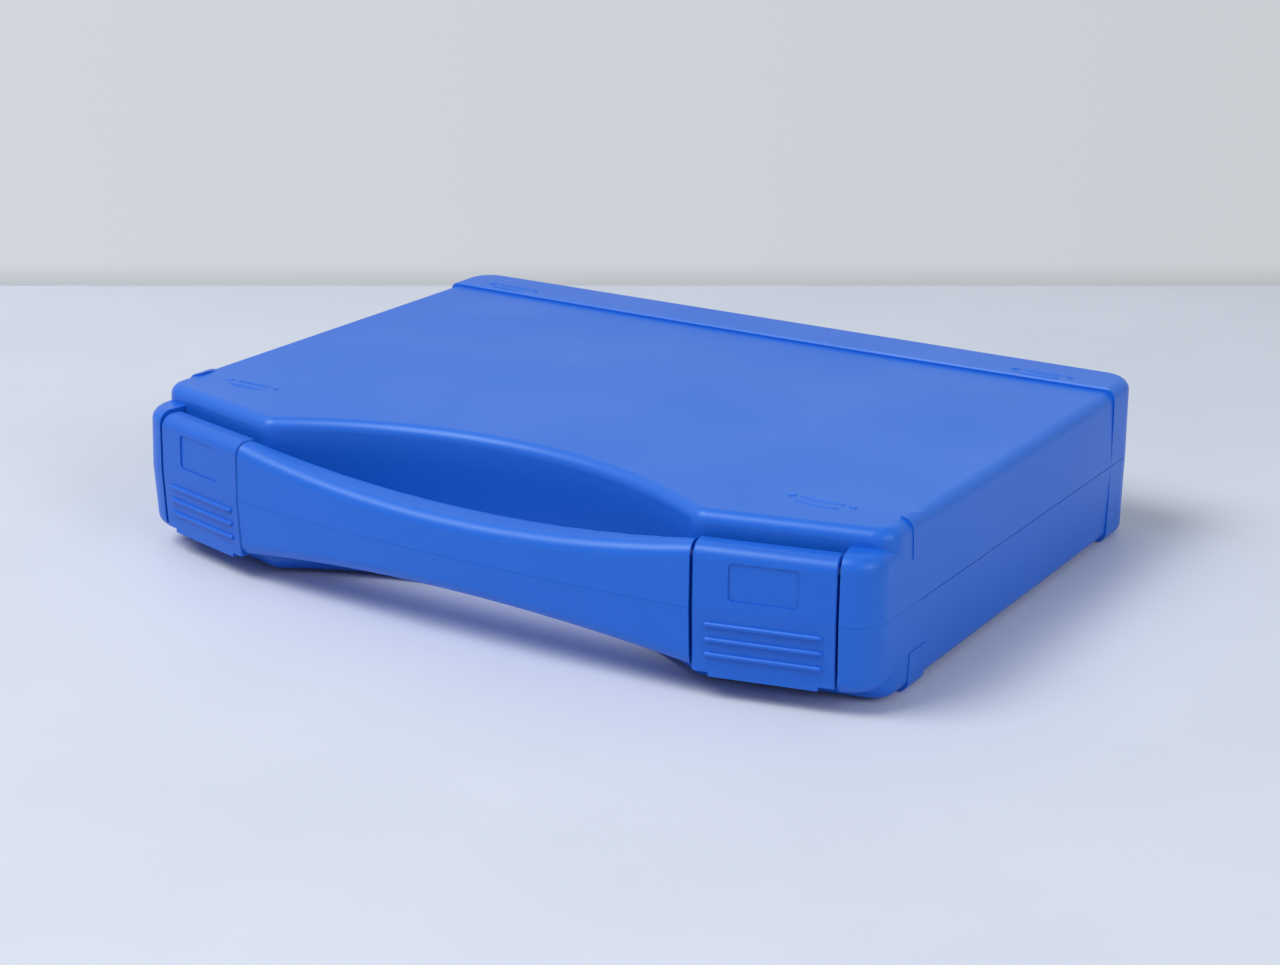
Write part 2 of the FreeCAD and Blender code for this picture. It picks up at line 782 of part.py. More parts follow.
def station(name, lift=nothing):
    body = newBody(name)
    aside = FreeCAD.Rotation(FreeCAD.Vector(0, 0, 1), turn.value)
    body.Placement = FreeCAD.Placement(FreeCAD.Vector(), aside)
    setSize(body, "Placement.Base.x", gripHalf)
    setSize(body, "Placement.Base.y", gripEndY)
    setSize(body, "Placement.Base.z", lift)
    setSize(body, "Placement.Rotation.Angle", turn)
    return body


pivotZ = railHalf - "latchTopRadius"
pivotY = size("latchTopRadius") / cosOf(draft) + tanOf(draft) * pivotZ
keeperFront = size("keeperFront")
keeperBack = keeperFront + "keeperThickness"


def keeperWall(name, path):
    body = station(name)
    sketch = newSketch(body, name + "Profile", "YZ_Plane", -sink)
    closedLoop(sketch, path)
    pad(body, sketch, name + "Pad", sink + "bayLength" + sink)
    return body


lidKeeper = keeperWall("LidKeeperRight", [
    (keeperFront, halfGap),
    (keeperBack, halfGap),
    (keeperBack, size("keeperRise")),
    (keeperFront, size("keeperRise")),
])
ridgeEnd = size("hookTop") - "hookPlay"
baseKeeper = keeperWall("BaseKeeperRight", [
    (keeperFront, halfGap),
    (keeperBack, halfGap),
    (keeperBack, ridgeEnd),
    (keeperFront - "ridgeReach", ridgeEnd),
    (keeperFront - "ridgeReach", ridgeEnd - size("ridgeHeight") / 3),
    (keeperFront, ridgeEnd - "ridgeHeight"),
])


# Hinges: niches in the rear wall, knuckles by turns on the base and the lid, and a pin through them

hingeStart = halfWidth - "hingeInset" - size("hingeLength") / 2
hingeEnd = hingeStart + "hingeLength"
nicheFloor = hingeY - "knuckleRadius" - "knuckleRoom"
knucklePitch = (size("hingeLength") + "knuckleGap") / "knuckles"
nicheSide = size("knuckleRoom")


housings = bothSides(boxOf(
    "HousingRight",
    (hingeStart - nicheSide - wall, nicheFloor - wall, halfGap),
    (hingeEnd + nicheSide + wall, rearY - wall / 2, size("nicheHeight") + wall),
), "HousingLeft")
niches = bothSides(boxOf(
    "NicheRight",
    (hingeStart - nicheSide, nicheFloor, -overrun),
    (hingeEnd + nicheSide, rearY + overrun, size("nicheHeight")),
), "NicheLeft")


def knuckles(name, first, count, bore):
    """Every second knuckle of a hinge with the web that carries it."""
    body = newBody(name + "Right")
    sketch = newSketch(body, name + "Profile", "YZ_Plane", hingeStart + knucklePitch * first)
    radius = size("knuckleRadius")
    webEnd = size("webRoom")
    foot = nicheFloor - sink
    meetY = hingeY - rootOf(radius * radius - webEnd * webEnd)
    closedLoop(sketch, [
        (foot, webEnd),
        (foot, radius),
        (hingeY, radius),
        (hingeY + radius, nothing, radius, 1),
        (hingeY, -radius, radius, 1),
        (meetY, webEnd, radius, 1),
    ])
    circleAt(sketch, hingeY, nothing, bore)
    tip = pad(body, sketch, name + "Pad", knucklePitch - "knuckleGap")
    row = body.newObject("PartDesign::LinearPattern", name + "Row")
    row.Originals = [tip]
    row.Direction = (originPlane(body, "X_Axis"), [""])
    setSize(row, "Length", knucklePitch * (2 * (count - 1)))
    row.Occurrences = count
    body.Tip = row
    doc.recompute()
    return bothSides(body, name + "Left")


hingeCount = int(size("knuckles").value)
baseKnuckles = knuckles("BaseKnuckles", 0, (hingeCount + 1) // 2, size("hingePinRadius"))
lidKnuckles = knuckles("LidKnuckles", 1, hingeCount // 2, size("hingePinRadius") + "runClearance")


# Rims: a lip on the base that stands in a rebate of the lid

lipDepth = wall - "lipThickness"
lipOuter = bodyBlock("LipOuter", lipDepth, sink, None, below="lipHeight")
lipGapSide = nicheSide + wall + "lipClearance"
lipGaps = bothSides(boxOf(
    "LipGapRight",
    (hingeStart - lipGapSide, nicheFloor - wall - overrun, -(size("lipHeight") + overrun)),
    (hingeEnd + lipGapSide, rearY, halfGap),
), "LipGapLeft")
lipTools = booleanOf("MultiFuse", "LipTools", baseCavity, *lipGaps)
lip = booleanOf("Cut", "Lip", lipOuter, lipTools)
rebate = bodyBlock("Rebate", lipDepth - "lipClearance", size("lipHeight") + "rimGap", None, below=overrun)


# Latch pins and the bores that hold them in the lid

def latchRod(name, lift):
    body = station(name, lift)
    sketch = newSketch(body, name + "Circle", "YZ_Plane", -size("pinTail"))
    circleAt(sketch, pivotY, pivotZ, size("latchPinRadius"))
    pad(body, sketch, name + "Pad", size("pinTail") + "bayLength" + "pinEmbed")
    return body


latchBores = bothSides(latchRod("LatchBoreRight", nothing), "LatchBoreLeft")

lidRim = booleanOf("Cut", "LidRim", lidHalf, rebate)
lidKeepers = bothSides(lidKeeper, "LidKeeperLeft")
lidFull = booleanOf("MultiFuse", "LidFull", lidRim, *housings, *lidKeepers)
lidTools = booleanOf("MultiFuse", "LidTools", *niches, *latchBores)
lidCut = booleanOf("Cut", "LidCut", lidFull, lidTools)
lidShell = booleanOf("MultiFuse", "LidShell", lidCut, *lidKnuckles)
setSize(lidShell, "Placement.Base.z", partingHeight)

baseKeepers = bothSides(baseKeeper, "BaseKeeperLeft")
baseFull = booleanOf("MultiFuse", "BaseFull", baseHalf, lip, *housings, *baseKeepers)
baseTools = booleanOf("MultiFuse", "BaseTools", *niches)
baseCut = booleanOf("Cut", "BaseCut", baseFull, baseTools)
baseUp = booleanOf("MultiFuse", "BaseUp", baseCut, *baseKnuckles)
baseShell = mirrored(baseUp, "BaseShell", (0, 0, 1), partingHeight / 2)


# Latch: a plate that turns about its pin and hooks under the base's catch ridge

def latchBody():
    body = station("LatchRight", partingHeight)
    radius = size("latchTopRadius")
    barrel = size("barrelRadius")
    plate = size("latchPlate")
    lean = tanOf(draft)
    drop = size("latchDrop")
    hookEdge = plate + "hookReach"
    hookTop = size("hookTop")
    hookBottom = hookTop + "hookHeight"
    rise = pivotY - plate
    length = size("bayLength") - size("latchGap") * 2
    sketch = newSketch(body, "LatchProfile", "YZ_Plane", "latchGap")
    closedLoop(sketch, [
        (lean * drop, -drop),
        (nothing, nothing),
        (pivotY - cosOf(draft) * radius, pivotZ + sinOf(draft) * radius),
        (pivotY, railHalf, radius, 1),
        (pivotY + barrel, railHalf),
        (pivotY + barrel, pivotZ),
        (plate, pivotZ - rootOf(barrel * barrel - rise * rise), barrel, 1),
        (plate, -hookTop),
        (hookEdge, -hookTop),
        (hookEdge, -hookBottom),
        (plate, -(hookBottom + "hookSlope")),
        (plate, -drop),
    ])
    circleAt(sketch, pivotY, pivotZ, size("latchPinRadius") + "runClearance")
    tip = pad(body, sketch, "LatchPad", length)
    isEnd = lambda e: e.BoundBox.XLength < near and e.BoundBox.YMax < pivotY.value + near
    isOutside = lambda e: e.BoundBox.YMin < lean.value * drop.value and e.BoundBox.ZLength > apart
    edges = edgesWhere(tip.Shape, bothOf(isEnd, isOutside))
    tip = chamfer(body, tip, "LatchEnds", edges, "latchBevel")
    middle = size("bayLength") / 2
    tabStart = middle - size("tabLength") / 2
    sketch = newSketch(body, "TabPlan", "XY_Plane", -drop)
    closedLoop(sketch, [
        (tabStart, lean * drop),
        (tabStart + "tabLength", lean * drop),
        (tabStart + "tabLength", plate),
        (tabStart, plate),
    ])
    tip = pad(body, sketch, "TabPad", "tabDrop", turned=True)
    for k in range(int(size("ribCount").value)):
        sketch = newSketch(body, f"RibProfile{k + 1}", "YZ_Plane", middle - size("ribLength") / 2)
        height = size("ribHeight")
        centre = size("ribFirst") + size("ribPitch") * k
        face = lean * centre
        closedLoop(sketch, [
            (face + sink, -(centre + height / 2)),
            (face - "ribProud", -(centre + height / 4)),
            (face - "ribProud", -(centre - height / 4)),
            (face + sink, -(centre - height / 2)),
        ])
        tip = pad(body, sketch, f"RibPad{k + 1}", "ribLength")
    sketch = newSketch(body, "PanelPlan", "XZ_Plane")
    tilt = FreeCAD.Rotation(FreeCAD.Vector(1, 0, 0), -draft.value)
    sketch.AttachmentOffset = FreeCAD.Placement(FreeCAD.Vector(), tilt)
    setSize(sketch, "AttachmentOffset.Rotation.Angle", -draft)
    left = middle - size("panelLength") / 2
    right = middle + size("panelLength") / 2
    low = size("panelMiddle") - size("panelHeight") / 2
    high = size("panelMiddle") + size("panelHeight") / 2
    corner = size("panelRadius")
    closedLoop(sketch, [
        (left + corner, low, corner, -1),
        (right - corner, low),
        (right, low + corner, corner, -1),
        (right, high - corner),
        (right - corner, high, corner, -1),
        (left + corner, high),
        (left, high - corner, corner, -1),
        (left, low + corner),
    ])
    pocket(body, sketch, "PanelCut", "panelDepth")
    return body


latch = latchBody()
latchPin = latchRod("LatchPinRight", partingHeight)


def hingePin():
    body = newBody("HingePinRight")
    setSize(body, "Placement.Base.z", partingHeight)
    sketch = newSketch(body, "HingePinCircle", "YZ_Plane", hingeStart)
    circleAt(sketch, hingeY, nothing, size("hingePinRadius"))
    pad(body, sketch, "HingePinPad", "hingeLength")
    return body


pin = hingePin()
nodes = {
    "base_shell": baseShell,
    "lid_shell": lidShell,
    "right_latch": latch,
    "left_latch": mirrored(latch, "LatchLeft", (1, 0, 0)),
    "right_latch_pin": latchPin,
    "left_latch_pin": mirrored(latchPin, "LatchPinLeft", (1, 0, 0)),
    "right_hinge_pin": pin,
    "left_hinge_pin": mirrored(pin, "HingePinLeft", (1, 0, 0)),
}
doc.recompute()

faulty = [thing.Name for thing in doc.Objects if {"Invalid", "Error"} & set(thing.State)]
if faulty:
    raise ValueError(f"faulty: {faulty}")

os.makedirs("parts", exist_ok=True)
for name, piece in nodes.items():
    piece.Label = name
    if piece.Shape.isNull() or not piece.Shape.isValid() or len(piece.Shape.Solids) != 1:
        raise ValueError(f"{name} is not one sound solid")
    piece.Shape.exportStep(f"parts/{name}.step")
    print(name, round(piece.Shape.Volume), piece.Shape.optimalBoundingBox())
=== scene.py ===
import json
import math

import bmesh
import bpy
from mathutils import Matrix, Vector


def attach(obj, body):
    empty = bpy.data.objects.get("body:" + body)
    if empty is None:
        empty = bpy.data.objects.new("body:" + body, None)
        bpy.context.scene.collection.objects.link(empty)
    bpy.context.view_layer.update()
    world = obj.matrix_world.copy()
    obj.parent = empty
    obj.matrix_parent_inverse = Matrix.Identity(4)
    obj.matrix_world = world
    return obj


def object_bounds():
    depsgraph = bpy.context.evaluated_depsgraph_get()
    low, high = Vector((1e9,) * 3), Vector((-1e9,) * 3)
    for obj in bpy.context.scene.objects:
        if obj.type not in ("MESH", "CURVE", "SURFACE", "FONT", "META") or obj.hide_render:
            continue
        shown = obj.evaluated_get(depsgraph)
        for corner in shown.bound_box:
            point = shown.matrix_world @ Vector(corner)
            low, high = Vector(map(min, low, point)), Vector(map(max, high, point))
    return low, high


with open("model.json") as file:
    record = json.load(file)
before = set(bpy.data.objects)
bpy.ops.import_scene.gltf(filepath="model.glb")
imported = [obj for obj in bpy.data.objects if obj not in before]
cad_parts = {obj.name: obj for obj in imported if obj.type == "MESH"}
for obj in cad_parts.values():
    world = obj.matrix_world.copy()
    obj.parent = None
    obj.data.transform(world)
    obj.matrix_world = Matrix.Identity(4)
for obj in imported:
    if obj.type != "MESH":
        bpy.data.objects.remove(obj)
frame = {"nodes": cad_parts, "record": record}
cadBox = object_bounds()
nodes = frame["nodes"]
print("frame loaded:", len(nodes), "pieces")

# Blue hard tool case, lying closed on a pale table. Metres, +Z up, the front faces -Y.


# Camera: front right of the case and above it

camera = {
    "place": (0.3731, -0.57915, 0.2535),
    "tiltDown": 18.84,  # degrees below level
    "turn": 32.63,  # degrees to the left of straight ahead
    "focal": 66.64,  # millimetres
    "sensor": 36.0,
    "nearest": 0.01,
}


def addCamera():
    lens = bpy.data.cameras.new("camera")
    lens.sensor_fit = "HORIZONTAL"
    lens.sensor_width = camera["sensor"]
    lens.lens = camera["focal"]
    lens.clip_start = camera["nearest"]
    eye = bpy.data.objects.new("camera", lens)
    eye.location = camera["place"]
    eye.rotation_euler = (math.radians(90 - camera["tiltDown"]), 0, math.radians(camera["turn"]))
    bpy.context.scene.collection.objects.link(eye)
    bpy.context.scene.camera = eye


addCamera()
print("camera set")


# Node helpers

def addNode(tree, kind, **settings):
    node = tree.nodes.new(kind)
    for key, value in settings.items():
        setattr(node, key, value)
    return node


def feed(tree, socket, value):
    if isinstance(value, bpy.types.NodeSocket):
        tree.links.new(value, socket)
    else:
        socket.default_value = value


def calculate(tree, operation, first, second):
    node = addNode(tree, "ShaderNodeMath", operation=operation)
    feed(tree, node.inputs[0], first)
    feed(tree, node.inputs[1], second)
    return node.outputs["Value"]


def noise(tree, place, scale, detail):
    node = addNode(tree, "ShaderNodeTexNoise")
    feed(tree, node.inputs["Vector"], place)
    feed(tree, node.inputs["Scale"], scale)
    feed(tree, node.inputs["Detail"], detail)
    return node.outputs["Fac"]


def remap(tree, value, fromLow, fromHigh, toLow=0.0, toHigh=1.0):
    node = addNode(tree, "ShaderNodeMapRange")
    feed(tree, node.inputs["Value"], value)
    feed(tree, node.inputs["From Min"], fromLow)
    feed(tree, node.inputs["From Max"], fromHigh)
    feed(tree, node.inputs["To Min"], toLow)
    feed(tree, node.inputs["To Max"], toHigh)
    return node.outputs["Result"]


def blendColors(tree, factor, first, second):
    node = addNode(tree, "ShaderNodeMix", data_type="RGBA")
    feed(tree, node.inputs["Factor"], factor)
    feed(tree, node.inputs["A"], first)
    feed(tree, node.inputs["B"], second)
    return node.outputs["Result"]


def newGroup(name, inputs, outputs):
    group = bpy.data.node_groups.new(name, "ShaderNodeTree")
    for label in inputs:
        group.interface.new_socket(label, in_out="INPUT", socket_type="NodeSocketFloat")
    for label in outputs:
        group.interface.new_socket(label, in_out="OUTPUT", socket_type="NodeSocketFloat")
    return group, group.nodes.new("NodeGroupInput"), group.nodes.new("NodeGroupOutput")


def useGroup(tree, group, values):
    node = addNode(tree, "ShaderNodeGroup", node_tree=group)
    for label, value in values.items():
        feed(tree, node.inputs[label], value)
    return node


def objectPlace(tree):
    return addNode(tree, "ShaderNodeTexCoord").outputs["Object"]


# Shared effects: the skin that a mould leaves, and light handling marks

skinPattern = {
    "grainDetail": 3.0,
    "waveDetail": 1.0,
    "toneLow": 0.3,  # the tone goes from 0 to 1 between these heights of the wave
    "toneHigh": 0.7,
}
handlingPattern = {
    "stretch": (1.0, 6.0, 3.0),
    "turn": (0.2, 0.4, 0.7),  # radians
    "streakDetail": 4.0,
    "streakLow": 0.5,  # streaks begin at this level of their noise
    "streakHigh": 0.8,  # and are full at this one
    "patchDetail": 2.0,
    "patchLow": 0.45,  # the same for the patches that hold the streaks
    "patchHigh": 0.75,
}


def makeMouldedSkin():
    group, given, result = newGroup(
        "mouldedSkin", ("Grain Scale", "Grain Depth", "Wave Scale", "Wave Depth"), ("Height", "Tone"))
    place = objectPlace(group)
    grain = noise(group, place, given.outputs["Grain Scale"], skinPattern["grainDetail"])
    wave = noise(group, place, given.outputs["Wave Scale"], skinPattern["waveDetail"])
    fine = calculate(group, "MULTIPLY", grain, given.outputs["Grain Depth"])
    slow = calculate(group, "MULTIPLY", wave, given.outputs["Wave Depth"])
    tone = remap(group, wave, skinPattern["toneLow"], skinPattern["toneHigh"])
    feed(group, result.inputs["Height"], calculate(group, "ADD", fine, slow))
    feed(group, result.inputs["Tone"], tone)
    return group


def makeHandling():
    group, given, result = newGroup("handling", ("Patch Scale", "Streak Scale", "Reach"), ("Mask",))
    place = objectPlace(group)
    stretch = addNode(group, "ShaderNodeMapping")
    stretch.inputs["Scale"].default_value = handlingPattern["stretch"]
    stretch.inputs["Rotation"].default_value = handlingPattern["turn"]
    feed(group, stretch.inputs["Vector"], place)
    stretched = stretch.outputs["Vector"]
    streaks = noise(group, stretched, given.outputs["Streak Scale"], handlingPattern["streakDetail"])
    patches = noise(group, place, given.outputs["Patch Scale"], handlingPattern["patchDetail"])
    rubbed = remap(group, streaks, handlingPattern["streakLow"], handlingPattern["streakHigh"])
    touched = remap(group, patches, handlingPattern["patchLow"], handlingPattern["patchHigh"])
    worn = calculate(group, "MULTIPLY", rubbed, touched)
    feed(group, result.inputs["Mask"], calculate(group, "MULTIPLY", worn, given.outputs["Reach"]))
    return group


mouldedSkin = makeMouldedSkin()
handling = makeHandling()


# Finishes: two blue plastics and the steel of the pins

plastics = {
    "shellPlastic": {
        "color": (0.008, 0.128, 0.655, 1.0),
        "deepColor": (0.007, 0.122, 0.635, 1.0),
        "wornColor": (0.020, 0.155, 0.69, 1.0),
        "gloss": 0.50,
        "glossTint": (0.74, 0.97, 1.0, 1.0),
        "roughLow": 0.37,
        "roughHigh": 0.43,
        "grainScale": 2600.0,
        "grainDepth": 0.000010,
        "waveScale": 22.0,
        "waveDepth": 0.00002,
        "patchScale": 12.0,
        "streakScale": 160.0,
        "reach": 0.35,
    },
    "latchPlastic": {
        "color": (0.008, 0.120, 0.635, 1.0),
        "deepColor": (0.007, 0.114, 0.615, 1.0),
        "wornColor": (0.020, 0.150, 0.68, 1.0),
        "gloss": 0.50,
        "glossTint": (0.74, 0.97, 1.0, 1.0),
        "roughLow": 0.38,
        "roughHigh": 0.44,
        "grainScale": 2600.0,
        "grainDepth": 0.000007,
        "waveScale": 40.0,
        "waveDepth": 0.000012,
        "patchScale": 12.0,
        "streakScale": 160.0,
        "reach": 0.5,
    },
}
steel = {
    "color": (0.55, 0.55, 0.56, 1.0),
    "darkColor": (0.40, 0.40, 0.41, 1.0),
    "roughLow": 0.25,
    "roughHigh": 0.4,
    "grainScale": 900.0,  # fine marks of drawing
    "grainDepth": 0.000004,
    "waveScale": 200.0,
    "waveDepth": 0.0,
}


def newMaterial(name):
    material = bpy.data.materials.new(name)
    material.use_nodes = True
    tree = material.node_tree
    return material, tree, tree.nodes["Principled BSDF"]


def addSkin(tree, shader, look):
    # bump and roughness from the skin, whose depths are in metres; gives back its tone
    skin = useGroup(tree, mouldedSkin, {
        "Grain Scale": look["grainScale"],
        "Grain Depth": look["grainDepth"],
        "Wave Scale": look["waveScale"],
        "Wave Depth": look["waveDepth"],
    })
    tone = skin.outputs["Tone"]
    rough = remap(tree, tone, 0.0, 1.0, look["roughLow"], look["roughHigh"])
    feed(tree, shader.inputs["Roughness"], rough)
    bump = addNode(tree, "ShaderNodeBump")
    bump.inputs["Distance"].default_value = 1.0
    feed(tree, bump.inputs["Height"], skin.outputs["Height"])
    feed(tree, shader.inputs["Normal"], bump.outputs["Normal"])
    return tone


def makePlastic(name):
    look = plastics[name]
    material, tree, shader = newMaterial(name)
    tone = addSkin(tree, shader, look)
    wear = useGroup(tree, handling, {
        "Patch Scale": look["patchScale"],
        "Streak Scale": look["streakScale"],
        "Reach": look["reach"],
    })
    base = blendColors(tree, tone, look["color"], look["deepColor"])
    color = blendColors(tree, wear.outputs["Mask"], base, look["wornColor"])
    feed(tree, shader.inputs["Base Color"], color)
    shader.inputs["Specular IOR Level"].default_value = look["gloss"]
    shader.inputs["Specular Tint"].default_value = look["glossTint"]
    return material


def makeSteel():
    material, tree, shader = newMaterial("drawnSteel")
    tone = addSkin(tree, shader, steel)
    feed(tree, shader.inputs["Base Color"], blendColors(tree, tone, steel["color"], steel["darkColor"]))
    shader.inputs["Metallic"].default_value = 1.0
    return material


finishes = {
    "shell_plastic": makePlastic("shellPlastic"),
    "latch_plastic": makePlastic("latchPlastic"),
    "pin_steel": makeSteel(),
}
for part in frame["record"]["subparts"]:
    mesh = nodes[part["node"]].data
    mesh.materials.clear()
    mesh.materials.append(finishes[part["material_slot"]])
print("finishes given")


# Ridges: low rounded bars that stand on a face

tipArea = 0.04  # share of a bar's section that is left at its two tips


def ridgeRings(start, end, outward, shape):
    # rings along the bar, which dies away at both ends
    across = (end - start).normalized().cross(outward)
    rings = []
    for i in range(shape["stations"] + 1):
        share = (1 - math.cos(math.pi * i / shape["stations"])) / 2
        swell = math.sqrt(max(tipArea, 1 - abs(2 * share - 1) ** shape["blunt"]))
        centre = start.lerp(end, share)
        ring = []
        for j in range(shape["rounds"] + 1):
            turn = math.pi * j / shape["rounds"]
            side = across * (math.cos(turn) * shape["halfWidth"] * swell)
            ring.append(centre + side + outward * (math.sin(turn) * shape["proud"] * swell))
        ring.append(ring[-1] - outward * shape["sunk"])
        ring.append(ring[0] - outward * shape["sunk"])
        rings.append(ring)
    return rings


def addRidges(name, strokes, outward, shape, body, slot):
    bm = bmesh.new()
    for first, last in strokes:
        loops = [[bm.verts.new(point) for point in ring] for ring in ridgeRings(first, last, outward, shape)]
        for one, other in zip(loops, loops[1:]):
            for k in range(len(one)):
                bm.faces.new((one[k], one[k - 1], other[k - 1], other[k]))
        bm.faces.new(loops[0])
        bm.faces.new(loops[-1][::-1])
    bmesh.ops.recalc_face_normals(bm, faces=bm.faces)
    mesh = bpy.data.meshes.new(name)
    bm.to_mesh(mesh)
    bm.free()
    for face in mesh.polygons:
        face.use_smooth = True
    mesh.materials.append(finishes[slot])
    piece = bpy.data.objects.new(name, mesh)
    bpy.context.scene.collection.objects.link(piece)
    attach(piece, body)


# Moulded marks: two low strokes with a hook at each end, near the four corners of the lid

marks = {
    "span": 0.0132,  # length of the two long strokes
    "apart": 0.0036,  # between them, front to back
    "hook": 0.0026,
    "hookGap": 0.0011,
    "hookSlope": 0.45,  # towards the front, per length of hook
    "frontPlaces": ((0.0974, -0.0612), (-0.1008, -0.0595)),
    "rearPlaces": ((0.0990, 0.0777), (-0.1012, 0.0781)),
    "bandRise": 0.0012,  # rear band of the lid above its main panel
    "shape": {
        "halfWidth": 0.0006,
        "proud": 0.00036,
        "sunk": 0.00005,
        "stations": 12,
        "rounds": 6,
        "blunt": 6,  # the higher, the squarer the ends
    },
}


def addMark(name, place, level):
    centre = Vector((place[0], place[1], level))
    halfSpan = marks["span"] / 2
    halfApart = marks["apart"] / 2
    hookStart = halfSpan + marks["hookGap"]
    hookEnd = hookStart + marks["hook"]
    hookTip = halfApart - marks["hook"] * marks["hookSlope"]
    strokes = [((-halfSpan, side), (halfSpan, side)) for side in (-halfApart, halfApart)]
    for end in (-1, 1):
        strokes.append(((end * hookStart, halfApart), (end * hookEnd, hookTip)))
    lines = [(centre + Vector((*first, 0)), centre + Vector((*last, 0))) for first, last in strokes]
    addRidges(name, lines, Vector((0, 0, 1)), marks["shape"], "lid", "shell_plastic")


def addMarks():
    bandLevel = cadBox[1].z
    panelLevel = bandLevel - marks["bandRise"]
    for row, level in (("rear", bandLevel), ("front", panelLevel)):
        for side, place in zip(("Right", "Left"), marks[row + "Places"]):
            addMark(row + "Mark" + side, place, level)


addMarks()
print("marks moulded")


# Grip ribs: rounded bars over the plain ribs of both latches

latch = {
    "corner": (0.076925, -0.09345, 0.0253),  # end of the handle, in the parting plane
    "turn": 13.3,  # degrees that the front is swept back there
    "draft": 2.0,  # degrees that its face leans in below the parting plane
    "middle": 0.020,  # along the face, from the corner
}
grips = {
    "halfLength": 0.0159,
    "first": 0.00395,  # below the parting plane
    "pitch": 0.00425,
    "count": 3,
    "shape": {
        "halfWidth": 0.00074,
        "proud": 0.00086,
        "sunk": 0.0001,
        "stations": 24,
        "rounds": 8,
        "blunt": 90,
    },
}


def latchPlace(side, along, out, rise):
    turn = math.radians(latch["turn"])
    x = latch["corner"][0] + along * math.cos(turn) + out * math.sin(turn)
    y = latch["corner"][1] + along * math.sin(turn) - out * math.cos(turn)
    return Vector((side * x, y, latch["corner"][2] + rise))


def addGrips():
    lean = math.radians(latch["draft"])
    for side, body in ((1, "right_latch"), (-1, "left_latch")):
        outward = latchPlace(side, 0, math.cos(lean), -math.sin(lean)) - latchPlace(side, 0, 0, 0)
        reach = side * grips["halfLength"]
        lines = []
        for k in range(grips["count"]):
            depth = grips["first"] + grips["pitch"] * k
            inset = -math.tan(lean) * depth
            start = latchPlace(side, latch["middle"] - reach, inset, -depth)
            end = latchPlace(side, latch["middle"] + reach, inset, -depth)
            lines.append((start, end))
        addRidges(body + "_grips", lines, outward, grips["shape"], body, "latch_plastic")


addGrips()
print("grip ribs rounded")


# Table and wall. The camera, gloss and glass see the wall and the room at an even pale colour,
# and the light comes past them.

table = {
    "color": (0.65, 0.69, 0.78, 1.0),
    "paleColor": (0.68, 0.72, 0.81, 1.0),
    "rough": 0.55,
    "cloudScale": 9.0,
    "cloudDetail": 4.0,
    "cloudLow": 0.35,
    "cloudHigh": 0.65,
    "halfWidth": 3.0,
    "front": -3.0,  # from the camera, along the floor
    "back": 4.0,
}
wall = {
    "color": (0.645, 0.675, 0.735, 1.0),
    # painted shade: the glowing wall turns to this darker colour towards the right
    "rightColor": (0.59, 0.62, 0.655, 1.0),
    "footShade": 0.80,  # painted shade: a soft dark line where it meets the table
    "footHeight": 0.010,
    "fadeAcross": 0.3,
    "highColor": (0.78, 0.92, 1.0, 1.0),  # above the picture, where the lid mirrors it
    "highStart": 0.13,
    "highEnd": 0.24,
    "away": 1.01,  # from the camera, along the floor
    "height": 1.6,
}


def seenRays(tree):
    rays = addNode(tree, "ShaderNodeLightPath")
    mirrored = calculate(tree, "MAXIMUM", rays.outputs["Is Glossy Ray"], rays.outputs["Is Transmission Ray"])
    return calculate(tree, "MAXIMUM", rays.outputs["Is Camera Ray"], mirrored)


def mixShaders(tree, factor, first, second, surface):
    blend = addNode(tree, "ShaderNodeMixShader")
    feed(tree, blend.inputs["Fac"], factor)
    tree.links.new(first, blend.inputs[1])
    tree.links.new(second, blend.inputs[2])
    tree.links.new(blend.outputs["Shader"], surface)


def makeTableMaterial():
    material, tree, shader = newMaterial("tableTop")
    cloud = noise(tree, objectPlace(tree), table["cloudScale"], table["cloudDetail"])
    pale = remap(tree, cloud, table["cloudLow"], table["cloudHigh"])
    feed(tree, shader.inputs["Base Color"], blendColors(tree, pale, table["color"], table["paleColor"]))
    shader.inputs["Roughness"].default_value = table["rough"]
    return material


def makeWallMaterial():
    # only its front is there, so that the case can be seen from behind
    material, tree, shader = newMaterial("wall")
    tree.nodes.remove(shader)
    apart = addNode(tree, "ShaderNodeSeparateXYZ")
    feed(tree, apart.inputs["Vector"], objectPlace(tree))
    across = remap(tree, apart.outputs["X"], -wall["fadeAcross"], wall["fadeAcross"])
    high = remap(tree, apart.outputs["Z"], wall["highStart"], wall["highEnd"])
    # painted shade: the wall's glow is dimmed just above the table, as a soft dark line at the crease
    foot = remap(tree, apart.outputs["Z"], 0.0, wall["footHeight"], wall["footShade"], 1.0)
    # painted shade: the wall's glow darker towards the right
    low = blendColors(tree, across, wall["color"], wall["rightColor"])
    glow = addNode(tree, "ShaderNodeEmission")
    feed(tree, glow.inputs["Color"], blendColors(tree, high, low, wall["highColor"]))
    feed(tree, glow.inputs["Strength"], foot)
    behind = addNode(tree, "ShaderNodeNewGeometry").outputs["Backfacing"]
    seen = calculate(tree, "MULTIPLY", seenRays(tree), calculate(tree, "SUBTRACT", 1.0, behind))
    clear = addNode(tree, "ShaderNodeBsdfTransparent")
    surface = tree.nodes["Material Output"].inputs["Surface"]
    mixShaders(tree, seen, clear.outputs["BSDF"], glow.outputs["Emission"], surface)
    return material


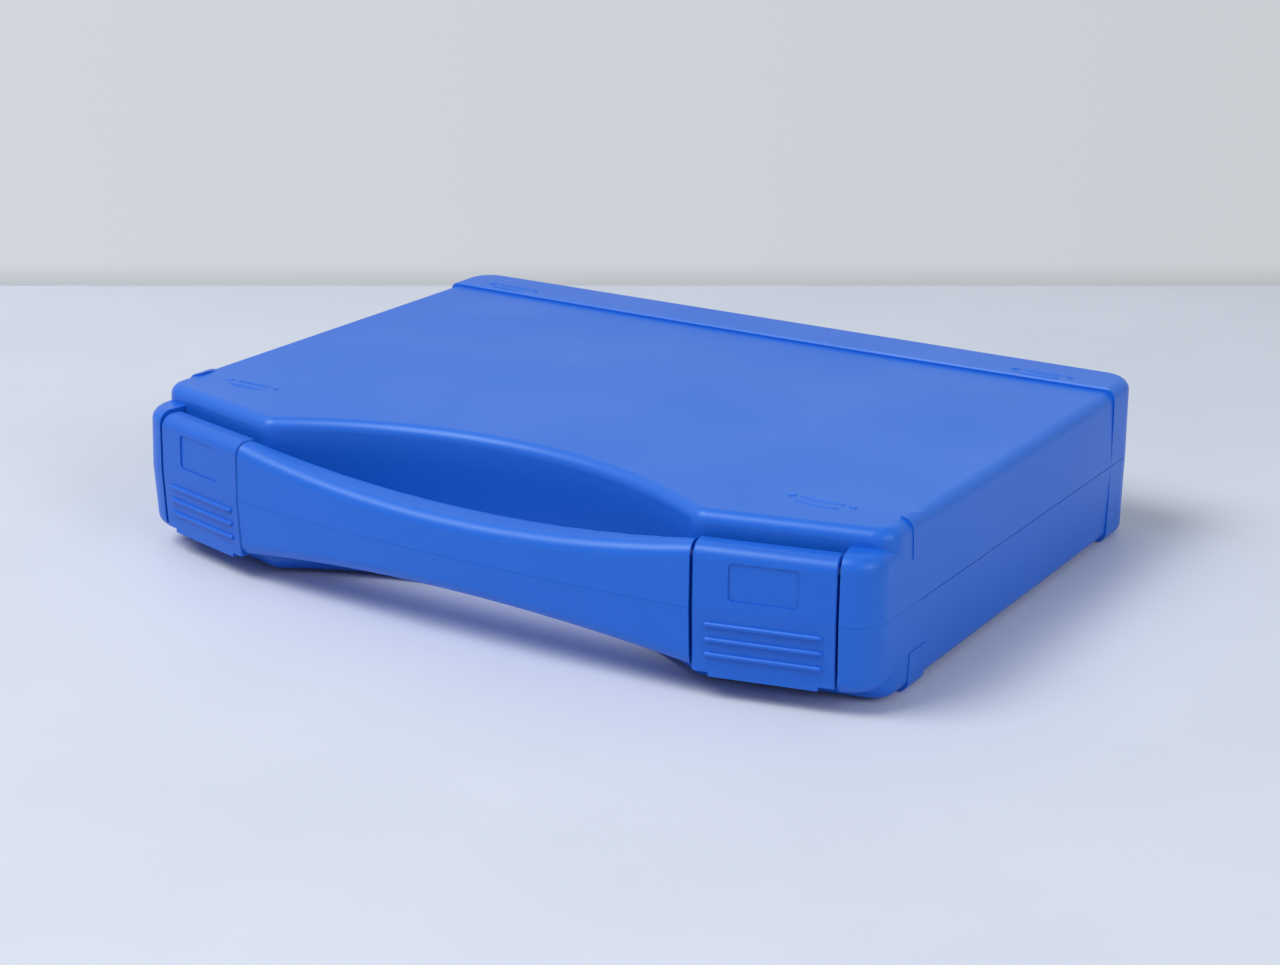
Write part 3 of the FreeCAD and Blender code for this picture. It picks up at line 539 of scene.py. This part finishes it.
def addSheet(name, line, material):
    width = table["halfWidth"]
    points = [(side * width, y, z) for y, z in line for side in (-1, 1)]
    mesh = bpy.data.meshes.new(name)
    mesh.from_pydata(points, [], [(0, 1, 3, 2)])
    mesh.materials.append(material)
    sheet = bpy.data.objects.new(name, mesh)
    sheet.rotation_euler = (0, 0, math.radians(camera["turn"]))
    sheet.location = (camera["place"][0], camera["place"][1], 0)
    bpy.context.scene.collection.objects.link(sheet)


def addStage():
    addSheet("tableTop", [(table["front"], 0), (table["back"], 0)], makeTableMaterial())
    addSheet("wall", [(wall["away"], 0), (wall["away"], wall["height"])], makeWallMaterial())


addStage()
print("stage set")


# Light: a soft lamp high at the front left, a weaker one at the right, and a pale room

lamps = {
    "frontLeft": {"place": (-0.66, -0.86, 1.62), "aim": (0, 0, 0), "size": 1.0, "power": 27.7},
    "right": {"place": (1.3, -0.35, 0.75), "aim": (0, 0, 0), "size": 0.7, "power": 6.2},
}
room = {"color": (0.90, 0.95, 1.0, 1.0), "strength": 0.33}


def addLamp(name, lamp):
    light = bpy.data.lights.new(name, "AREA")
    light.shape = "SQUARE"
    light.size = lamp["size"]
    light.energy = lamp["power"]
    holder = bpy.data.objects.new(name, light)
    holder.location = lamp["place"]
    toward = [end - start for end, start in zip(lamp["aim"], lamp["place"])]
    tilt = math.atan2(math.hypot(toward[0], toward[1]), -toward[2])
    heading = math.atan2(toward[1], toward[0]) - math.pi / 2
    holder.rotation_euler = (tilt, 0, heading)
    bpy.context.scene.collection.objects.link(holder)


def addRoom():
    world = bpy.data.worlds.new("room")
    world.use_nodes = True
    tree = world.node_tree
    light = tree.nodes["Background"]
    light.inputs["Color"].default_value = room["color"]
    light.inputs["Strength"].default_value = room["strength"]
    pale = addNode(tree, "ShaderNodeBackground")
    pale.inputs["Color"].default_value = wall["color"]
    surface = tree.nodes["World Output"].inputs["Surface"]
    mixShaders(tree, seenRays(tree), light.outputs["Background"], pale.outputs["Background"], surface)
    bpy.context.scene.world = world


for lampName, lamp in lamps.items():
    addLamp(lampName, lamp)
addRoom()
bpy.context.scene.view_settings.view_transform = "Standard"
print("light set")

bpy.context.view_layer.update()
